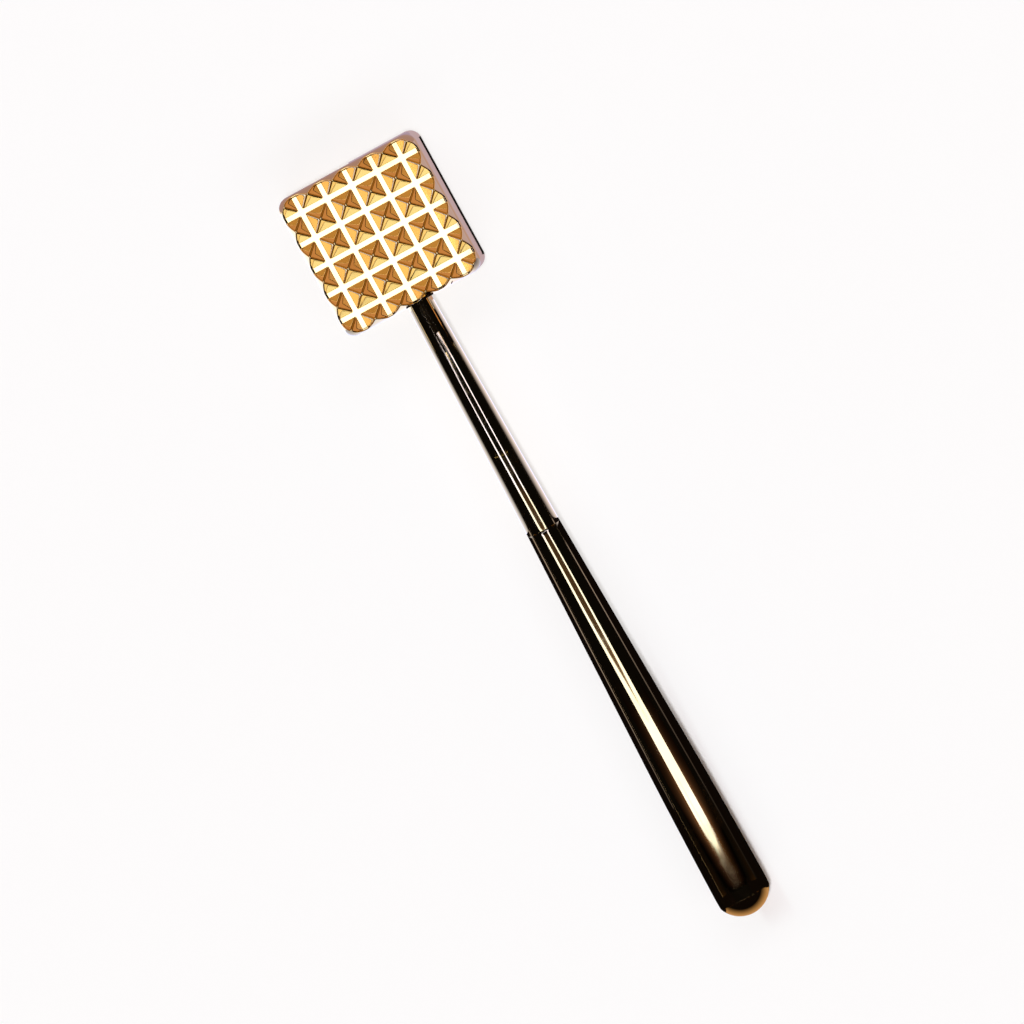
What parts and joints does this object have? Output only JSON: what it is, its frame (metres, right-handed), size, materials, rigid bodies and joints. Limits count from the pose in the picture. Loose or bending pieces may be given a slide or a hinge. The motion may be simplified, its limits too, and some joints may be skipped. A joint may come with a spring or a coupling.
{
  "type": "meat tenderizer",
  "caption": "Hand mallet for tenderizing meat: square brass head with pyramid teeth on one face and a flat back, on a round handle that flares from a slim neck to a domed butt.",
  "frame": {"origin": "centre of the head's flat back face, which the tool lies on", "axes": "+Z out of the toothed face, +Y from the handle towards the head, +X across the head"},
  "size_m": [0.05, 0.2759, 0.03],
  "materials": {
    "polished_brass": "mirror polished",
    "turned_brass": "as turned",
    "bright_steel": "bright zinc plated",
    "red_fibre": "matt vulcanised fibre"
  },
  "bodies": {
    "root": {"head_block": "polished_brass", "neck_washer": "red_fibre", "shank_sleeve": "polished_brass", "joint_bush": "turned_brass", "grip_shell": "polished_brass", "cone_bush": "turned_brass", "spring_washer": "bright_steel", "tension_nut": "bright_steel", "tang_rod": "bright_steel", "butt_cap": "polished_brass"}
  },
  "joints": []
}
